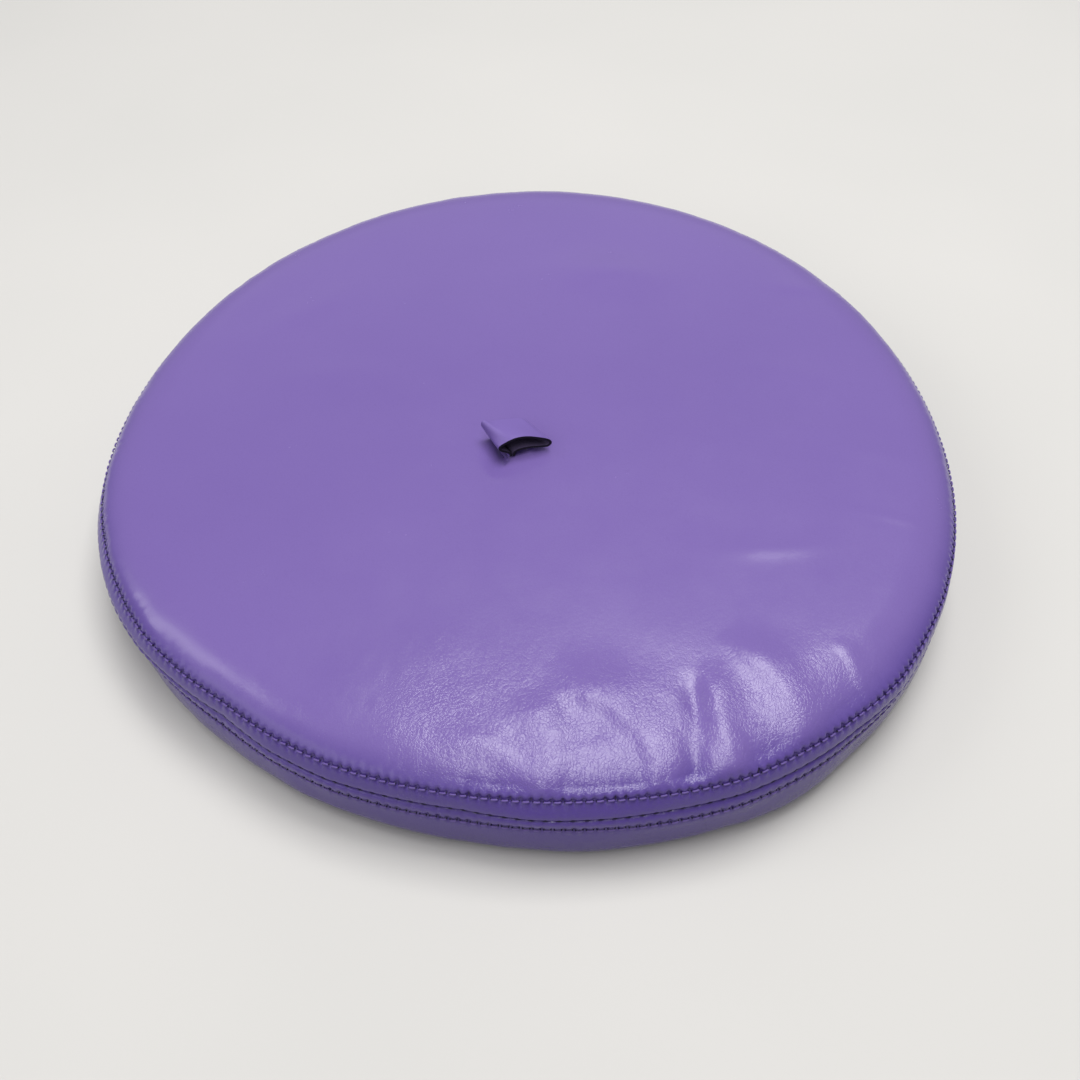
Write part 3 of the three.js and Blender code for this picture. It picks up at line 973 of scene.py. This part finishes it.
lin_un = shell("lining_under", dense([(92.7, 9.0), (92.8, 4.2), (94.3, 2.95), (98.2, 2.55), (130.2, 2.55), (133.4, 3.15), (135.6, 5.0), (136.8, 8.0), (136.8, 12.5), (135.3, S - 1.9)], 3),
               dense([(134.9, S - 2.1), (136.3, 12.4), (136.3, 8.1), (135.2, 5.3), (133.1, 3.6), (130.2, 3.05), (98.3, 3.05), (94.6, 3.4), (93.3, 4.4), (93.2, 9.0)], 3),
               [M_SATIN], 326, drape2)
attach(lin_un, "crown")
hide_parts("under_lining")

lin_thread = ring_thread("lining_seam_stitching", 133.7, S - 1.7, 0.2, M_DARK_THREAD_AND_HOLE_SHADE, 652, lambda a: 0.15 * np.cos(a * 163))
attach(lin_thread, "crown")
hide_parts("lining_seam_thread")

# sweatband, with a turned top edge
band = shell("sweatband_leather",
             [(91.0, 1.7), (91.0, 6), (91.0, 12), (91.0, 17.6), (90.85, 18.3), (90.5, 18.5)],
             [(90.15, 18.3), (90.0, 17.6), (90.0, 12), (90.0, 6), (90.0, 1.7)], [M_BAND], 489)
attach(band, "crown")
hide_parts("sweatband")
b_thread = stitches("sweatband_stitching", (90.0, 4.2), [(90.0, 16), (90.0, 10), (90.0, 4.2), (90.0, 2)], 188, 2.5, 0.22, 0.02,
                    M_THREAD, 9, 0.0)
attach(b_thread, "crown")
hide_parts("sweatband_thread")

# ---------------------------------------------------------------- stem
# line of the strip in its own frame: u across, w above the crown; front end and back end of its width
FRONT = [(0.55, -0.1), (0.6, 1.0), (1.5, 1.9), (3.6, 2.45), (6.2, 2.6), (9.0, 2.25), (11.2, 1.95), (12.2, 2.5), (12.35, 3.5),
         (11.4, 4.6), (8.3, 6.05), (4.9, 7.0), (2.2, 7.2), (0.5, 6.95), (-1.0, 6.4), (-2.2, 5.75), (-3.2, 5.1), (-3.85, 4.5), (-3.95, 3.8), (-3.5, 3.0),
         (-2.5, 2.4), (-1.2, 1.6), (-0.6, 0.9), (-0.55, -0.1)]
BACK = [(0.55, -0.1), (0.6, 1.0), (1.5, 2.0), (3.4, 2.7), (5.6, 3.1), (7.6, 3.3), (9.2, 3.8), (10.1, 4.5), (10.0, 5.3),
        (9.0, 5.75), (6.6, 6.05), (3.6, 6.3), (1.0, 6.4), (-0.9, 6.55), (-2.0, 6.9), (-2.75, 7.15), (-3.25, 6.7), (-3.3, 5.8), (-2.9, 4.6),
        (-2.2, 3.3), (-1.2, 2.0), (-0.6, 0.9), (-0.55, -0.1)]


def spline(points, n):
    p = resample(points, 0.1)
    e = along_section(p)
    s = np.linspace(0, e[-1], n)
    return np.stack([np.interp(s, e, p[:, 0]), np.interp(s, e, p[:, 1])], 1)


def to_row(u, v, w):
    """stem frame to row frame, mm; u across, v along the strip's width, w above the crown"""
    x = SX + STEM[0] + ACROSS[0] * u + ALONG[0] * v
    y = SY + STEM[1] + ACROSS[1] * u + ALONG[1] * v
    return np.stack([x, y, T + w + 0 * x], -1)


def build_loop():
    n, m = 150, 25
    fr, bk = spline(FRONT, n), spline(BACK, n)
    half = 0.5
    out, inn = [], []
    for j in range(m):
        t = j / (m - 1)
        c = fr * (1 - t) + bk * t
        d = normals2(c)           # left of the path: outside or inside
        v = -5.5 + 11.0 * t
        rag = 0.08 * np.sin(np.linspace(0, 23, n)) * (1 if j in (0, m - 1) else 0)
        ripple = 0.06 * np.sin(np.linspace(0, 9, n) + 3 * t)
        # the strip thins a little at its cut edges
        edge = half * (1 - 0.18 * (abs(2 * t - 1) ** 8))
        o, q = c - d * (edge + ripple[:, None] * 0.3), c + d * (edge - ripple[:, None] * 0.3)
        out.append(to_row(o[:, 0], v + rag, o[:, 1]))
        inn.append(to_row(q[:, 0], v + rag, q[:, 1]))
    out, inn = np.array(out), np.array(inn)       # m x n x 3
    V = np.concatenate([out.reshape(-1, 3), inn.reshape(-1, 3)])
    O = np.arange(m * n).reshape(m, n)
    I = O + m * n
    F, M = [], []

    def add(f, mat):
        F.append(f.reshape(-1, 4))
        M.append(np.full(len(F[-1]), mat))

    add(np.stack([O[:-1, :-1], O[:-1, 1:], O[1:, 1:], O[1:, :-1]], -1), 0)
    add(np.stack([I[:-1, :-1], I[1:, :-1], I[1:, 1:], I[:-1, 1:]], -1), 1)
    add(np.stack([O[0, :-1], I[0, :-1], I[0, 1:], O[0, 1:]], -1), 2)
    add(np.stack([O[-1, :-1], O[-1, 1:], I[-1, 1:], I[-1, :-1]], -1), 2)
    add(np.stack([O[:-1, 0], O[1:, 0], I[1:, 0], I[:-1, 0]], -1), 2)
    add(np.stack([O[:-1, -1], I[:-1, -1], I[1:, -1], O[1:, -1]], -1), 2)
    ob = make("stem_strip", V, [np.concatenate(F)], [M_STRIP, M_FLESH, M_CUT], np.concatenate(M), 45)
    return ob


loop = build_loop()
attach(loop, "stem")
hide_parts("stem_loop")


def strip_tails():
    """the two ends of the strip below the crown, spread flat"""
    top_z, low = T - 1.9, T - 4.25
    line = [(-8.5, low), (-5, low), (-2.2, low + 0.1), (-0.9, low + 0.8), (-0.55, top_z - 0.6), (-0.55, top_z)]
    V, F = [], []
    base = 0
    for sgn in (1, -1):
        c = spline([(u * sgn, w) for u, w in line], 30)
        d = normals2(c) * sgn
        pts = []
        for side in (-1, 1):
            for v in np.linspace(-5.3, 5.3, 7):
                o = c + d * side * 0.42
                p = to_row(o[:, 0], v, o[:, 1] - T)
                pts.append(p)
        P = np.array(pts)
        V.append(P.reshape(-1, 3))
        A = np.arange(7 * 30).reshape(7, 30) + base
        B = A + 210
        for q in (np.stack([A[:-1, :-1], A[:-1, 1:], A[1:, 1:], A[1:, :-1]], -1),
                  np.stack([B[:-1, :-1], B[1:, :-1], B[1:, 1:], B[:-1, 1:]], -1),
                  np.stack([A[0, :-1], B[0, :-1], B[0, 1:], A[0, 1:]], -1),
                  np.stack([A[-1, :-1], A[-1, 1:], B[-1, 1:], B[-1, :-1]], -1),
                  np.stack([A[:-1, 0], A[1:, 0], B[1:, 0], B[:-1, 0]], -1),
                  np.stack([A[:-1, -1], B[:-1, -1], B[1:, -1], A[1:, -1]], -1)):
            F.append(q.reshape(-1, 4))
        base += 420
    return make("stem_tail_leaves", np.concatenate(V), [np.concatenate(F)], [M_STRIP], None, 45)


tails = strip_tails()
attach(tails, "crown")
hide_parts("stem_tails")


def disc(name, cx, cy, r, z, h, mat, n=96):
    R = Rings()
    a = angles(n)

    def c(rr, zz):
        w = 1 + 0.01 * np.sin(a * 5)
        return np.stack([cx + rr * w * np.sin(a), cy - rr * w * np.cos(a), zz + 0.05 * np.sin(a * 7) * (rr / r)], -1)

    i0 = R.point((cx, cy, z))
    R.from_point(i0, c(r * 0.3, z))
    for rr, zz in ((r * 0.7, z), (r * 0.97, z), (r, z - h * 0.3), (r, z - h * 0.7), (r * 0.97, z - h), (r * 0.7, z - h), (r * 0.3, z - h)):
        R.ring(c(rr, zz))
    R.point((cx, cy, z - h))
    return R.build(name, [mat], 50)


cx, cy = SX + STEM[0], SY + STEM[1]
patch = disc("stem_patch", cx, cy, 13.5, T - 4.75, 0.8, M_PATCH)
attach(patch, "crown")
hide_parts("stem_backing_patch")
st_thread = ring_thread("stem_stitching", 10.2, T - 5.65, 0.2, M_DARK_THREAD_AND_HOLE_SHADE, 160, lambda a: 0.12 * np.cos(a * 24), (cx, cy))
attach(st_thread, "crown")
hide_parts("stem_thread")

# ---------------------------------------------------------------- an angle of 45 degrees, not used below
R2 = math.pi / 4

# ---------------------------------------------------------------- floor, light, camera
fl = bpy.data.meshes.new("floor")
fl.from_pydata([(-3, -3, 0), (3, -3, 0), (3, 3, 0), (-3, 3, 0)], [], [(0, 1, 2, 3)])
floor = bpy.data.objects.new("floor", fl)
bpy.context.scene.collection.objects.link(floor)
mf = Mat("floor_paper")
nf = mf.noise(6, 2, 0.5)
mf.link(mf.mix(mf.range(nf.outputs["Fac"], 0.3, 0.7, 0, 1), rgb(0.545, 0.535, 0.515), rgb(0.565, 0.552, 0.532)), mf.b.inputs["Base Color"])
mf.b.inputs["Roughness"].default_value = 0.9
mf.b.inputs["Specular IOR Level"].default_value = 0.2
fl.materials.append(mf.m)
floor.location.z = -0.0001


def area_light(name, loc, aim, w, h, power, color=(1, 1, 1)):
    li = bpy.data.lights.new(name, "AREA")
    li.shape = "RECTANGLE"
    li.size, li.size_y, li.energy, li.color = w, h, power, color
    ob = bpy.data.objects.new(name, li)
    ob.location = loc
    d = Vector(aim) - Vector(loc)
    ob.rotation_mode = "QUATERNION"
    ob.rotation_quaternion = d.to_track_quat("-Z", "Y")
    bpy.context.scene.collection.objects.link(ob)
    return ob


area_light("soft_above", (0.255, 0.33, 1.5), (0.255, 0.33, 0), 0.84, 0.82, 20.5)
area_light("soft_near", (0.045, -0.50, 1.45), (0.045, -0.50, 0), 0.36, 0.82, 7.6)
area_light("soft_back", (-0.1, 1.9, 1.0), (0, 0, 0), 1.8, 0.7, 1.0)
area_light("soft_left", (-1.25, -0.75, 0.75), (0, 0, 0), 1.1, 0.9, 3.5)
area_light("soft_side", (-1.16, 0.16, 1.10), (0, 0, 0), 0.30, 0.85, 3.4)
area_light("soft_front", (-0.7, -1.6, 0.85), (0, 0, 0), 1.4, 0.8, 2.4)

world = bpy.data.worlds.new("world")
bpy.context.scene.world = world
world.use_nodes = True
bg = world.node_tree.nodes.get("Background") or world.node_tree.nodes.new("ShaderNodeBackground")
bg.inputs[0].default_value = (0.97, 0.98, 1.0, 1)
bg.inputs[1].default_value = 0.285

cam = bpy.data.cameras.new("camera")
cam.sensor_width = 36.0
cam.lens = 37.667
cam.clip_start, cam.clip_end = 0.01, 20
co = bpy.data.objects.new("camera", cam)
co.location = (0.003691, -0.280640, 0.280644)
fwd = Vector((0.0, 0.66737, -0.74473))
co.rotation_mode = "QUATERNION"
co.rotation_quaternion = fwd.to_track_quat("-Z", "Y")
bpy.context.scene.collection.objects.link(co)
bpy.context.scene.camera = co

vs = bpy.context.scene.view_settings
vs.view_transform = "Standard"
vs.look = "None"
vs.exposure = 0.0
vs.gamma = 1.0

bpy.context.view_layer.update()
